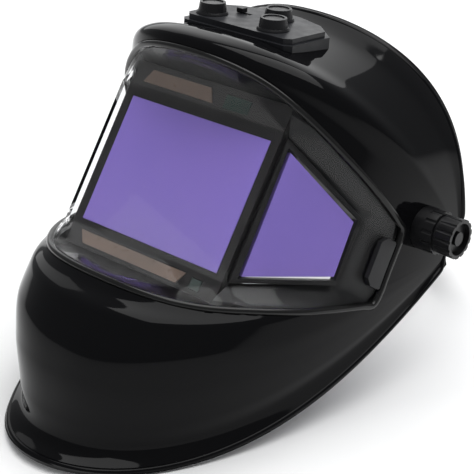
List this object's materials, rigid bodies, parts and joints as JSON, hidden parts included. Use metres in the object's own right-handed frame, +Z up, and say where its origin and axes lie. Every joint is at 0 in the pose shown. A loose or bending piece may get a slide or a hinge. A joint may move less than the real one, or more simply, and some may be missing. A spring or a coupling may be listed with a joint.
{
  "type": "welding helmet",
  "caption": "Auto-darkening welding helmet with a wraparound clear window, three filter panes, top dials, side tension knobs and ratchet headgear; the shell tilts up.",
  "frame": {"origin": "on the bench, under the middle of the helmet's footprint, with the helmet standing on its chin rim and its rear ratchet knob", "axes": "+X the wearer's left, +Y towards the back of the head, +Z up; the helmet is left-right symmetric about X=0 apart from the top controls"},
  "size_m": [0.285, 0.3941, 0.2381],
  "materials": {
    "shell_gloss": "high-gloss moulded nylon",
    "lens_seal": "glossy black bead",
    "clear_lens": "clear polycarbonate",
    "latch": "fine satin",
    "filter_glass": "coated violet filter glass",
    "cartridge": "fine matt",
    "solar_cell": "brown amorphous cell",
    "sensor": "dark sensor window",
    "circuit_board": "green solder mask",
    "inner_plastic": "moulded matt",
    "steel": "zinc plated",
    "battery": "nickel plated can",
    "potentiometer": "moulded",
    "ribbon": "flat ribbon lead",
    "panel_plastic": "fine textured",
    "knob_plastic": "satin black",
    "side_knob": "satin black",
    "bush_plastic": "natural acetal",
    "headgear_plastic": "satin polypropylene",
    "ratchet_plastic": "satin nylon",
    "padding": "woven cover over foam"
  },
  "bodies": {
    "headgear": {"headband": "headgear_plastic", "left_side_arm": "headgear_plastic", "right_side_arm": "headgear_plastic", "sweatband": "padding", "rear_pad": "padding", "left_crown_strap": "headgear_plastic", "right_crown_strap": "headgear_plastic", "crown_strap_studs": "headgear_plastic", "ratchet_housing": "ratchet_plastic", "pivot_bolts": "steel", "pivot_spacers": "steel", "friction_washers": "bush_plastic", "angle_plates": "headgear_plastic", "band_rivets": "steel"},
    "left_tension": {"left_tension_knob": "side_knob"},
    "right_tension": {"right_tension_knob": "side_knob"},
    "shade": {"shade_knob": "knob_plastic", "shade_shaft": "potentiometer"},
    "sensitivity": {"sensitivity_knob": "knob_plastic", "sensitivity_shaft": "potentiometer"},
    "delay": {"delay_knob": "knob_plastic", "delay_shaft": "potentiometer"},
    "mode_switch": {"mode_switch_slider": "knob_plastic"},
    "left_latch": {"left_lens_latch": "latch"},
    "right_latch": {"right_lens_latch": "latch"},
    "ratchet": {"ratchet_knob": "ratchet_plastic", "ratchet_pinion": "ratchet_plastic"},
    "left_rack": {"left_band_rack": "ratchet_plastic"},
    "right_rack": {"right_band_rack": "ratchet_plastic"},
    "shell": {"helmet_shell": "shell_gloss", "lens_seal": "lens_seal", "cover_lens": "clear_lens", "inner_cover_lens": "clear_lens", "main_filter_glass": "filter_glass", "left_filter_glass": "filter_glass", "right_filter_glass": "filter_glass", "cartridge_front_frame": "cartridge", "cartridge_rear_housing": "cartridge", "left_filter_wing": "cartridge", "right_filter_wing": "cartridge", "upper_solar_cell": "solar_cell", "lower_solar_cell": "solar_cell", "arc_sensors": "sensor", "filter_driver_board": "circuit_board", "control_board": "circuit_board", "filter_surround": "inner_plastic", "inner_lens_clips": "inner_plastic", "cartridge_holder": "inner_plastic", "holder_brackets": "inner_plastic", "control_box": "inner_plastic", "battery_door": "inner_plastic", "mode_switch_body": "inner_plastic", "holder_screws": "steel", "battery_cells": "battery", "potentiometers": "potentiometer", "ribbon_lead": "ribbon", "control_panel": "panel_plastic", "knob_base_rings": "side_knob", "pivot_bushes": "bush_plastic"}
  },
  "joints": [
    {"name": "shell_tilt", "type": "hinge", "parent": "headgear", "child": "shell", "pos_m": [0, 0.04547, 0.10815], "axis": [-1, 0, 0], "range_deg": [0, 60]},
    {"name": "left_tension_turn", "type": "hinge", "parent": "headgear", "child": "left_tension", "pos_m": [0, 0.04547, 0.10815], "axis": [1, 0, 0], "range_deg": [-180, 180]},
    {"name": "right_tension_turn", "type": "hinge", "parent": "headgear", "child": "right_tension", "pos_m": [0, 0.04547, 0.10815], "axis": [1, 0, 0], "range_deg": [-180, 180]},
    {"name": "shade_turn", "type": "hinge", "parent": "shell", "child": "shade", "pos_m": [0.02, 0.00567, 0.22967], "axis": [0, 0.0941, 0.9956], "range_deg": [-135, 135]},
    {"name": "sensitivity_turn", "type": "hinge", "parent": "shell", "child": "sensitivity", "pos_m": [-0.031, 0.00567, 0.22967], "axis": [0, 0.0941, 0.9956], "range_deg": [-135, 135]},
    {"name": "delay_turn", "type": "hinge", "parent": "shell", "child": "delay", "pos_m": [0.006, 0.02757, 0.2276], "axis": [0, 0.0941, 0.9956], "range_deg": [-135, 135]},
    {"name": "mode_slide", "type": "slide", "parent": "shell", "child": "mode_switch", "axis": [1, 0, 0], "range_m": [0, 0.005]},
    {"name": "left_latch_press", "type": "slide", "parent": "shell", "child": "left_latch", "axis": [-1, 0, 0], "range_m": [0, 0.0025], "stiffness_N_per_m": 400},
    {"name": "right_latch_press", "type": "slide", "parent": "shell", "child": "right_latch", "axis": [1, 0, 0], "range_m": [0, 0.0025], "stiffness_N_per_m": 400},
    {"name": "ratchet_turn", "type": "hinge", "parent": "headgear", "child": "ratchet", "pos_m": [0, 0.17121, 0.02615], "axis": [0, 0.8151, -0.5793], "range_deg": [0, 76]},
    {"name": "left_rack_slide", "type": "slide", "parent": "headgear", "child": "left_rack", "axis": [-1, 0, 0], "range_m": [0, 0.0082]},
    {"name": "right_rack_slide", "type": "slide", "parent": "headgear", "child": "right_rack", "axis": [1, 0, 0], "range_m": [0, 0.0082]}
  ],
  "couplings": [
    {"joint": "left_rack_slide", "follows": "ratchet_turn", "m_per_rad": 0.006},
    {"joint": "right_rack_slide", "follows": "ratchet_turn", "m_per_rad": 0.006}
  ]
}
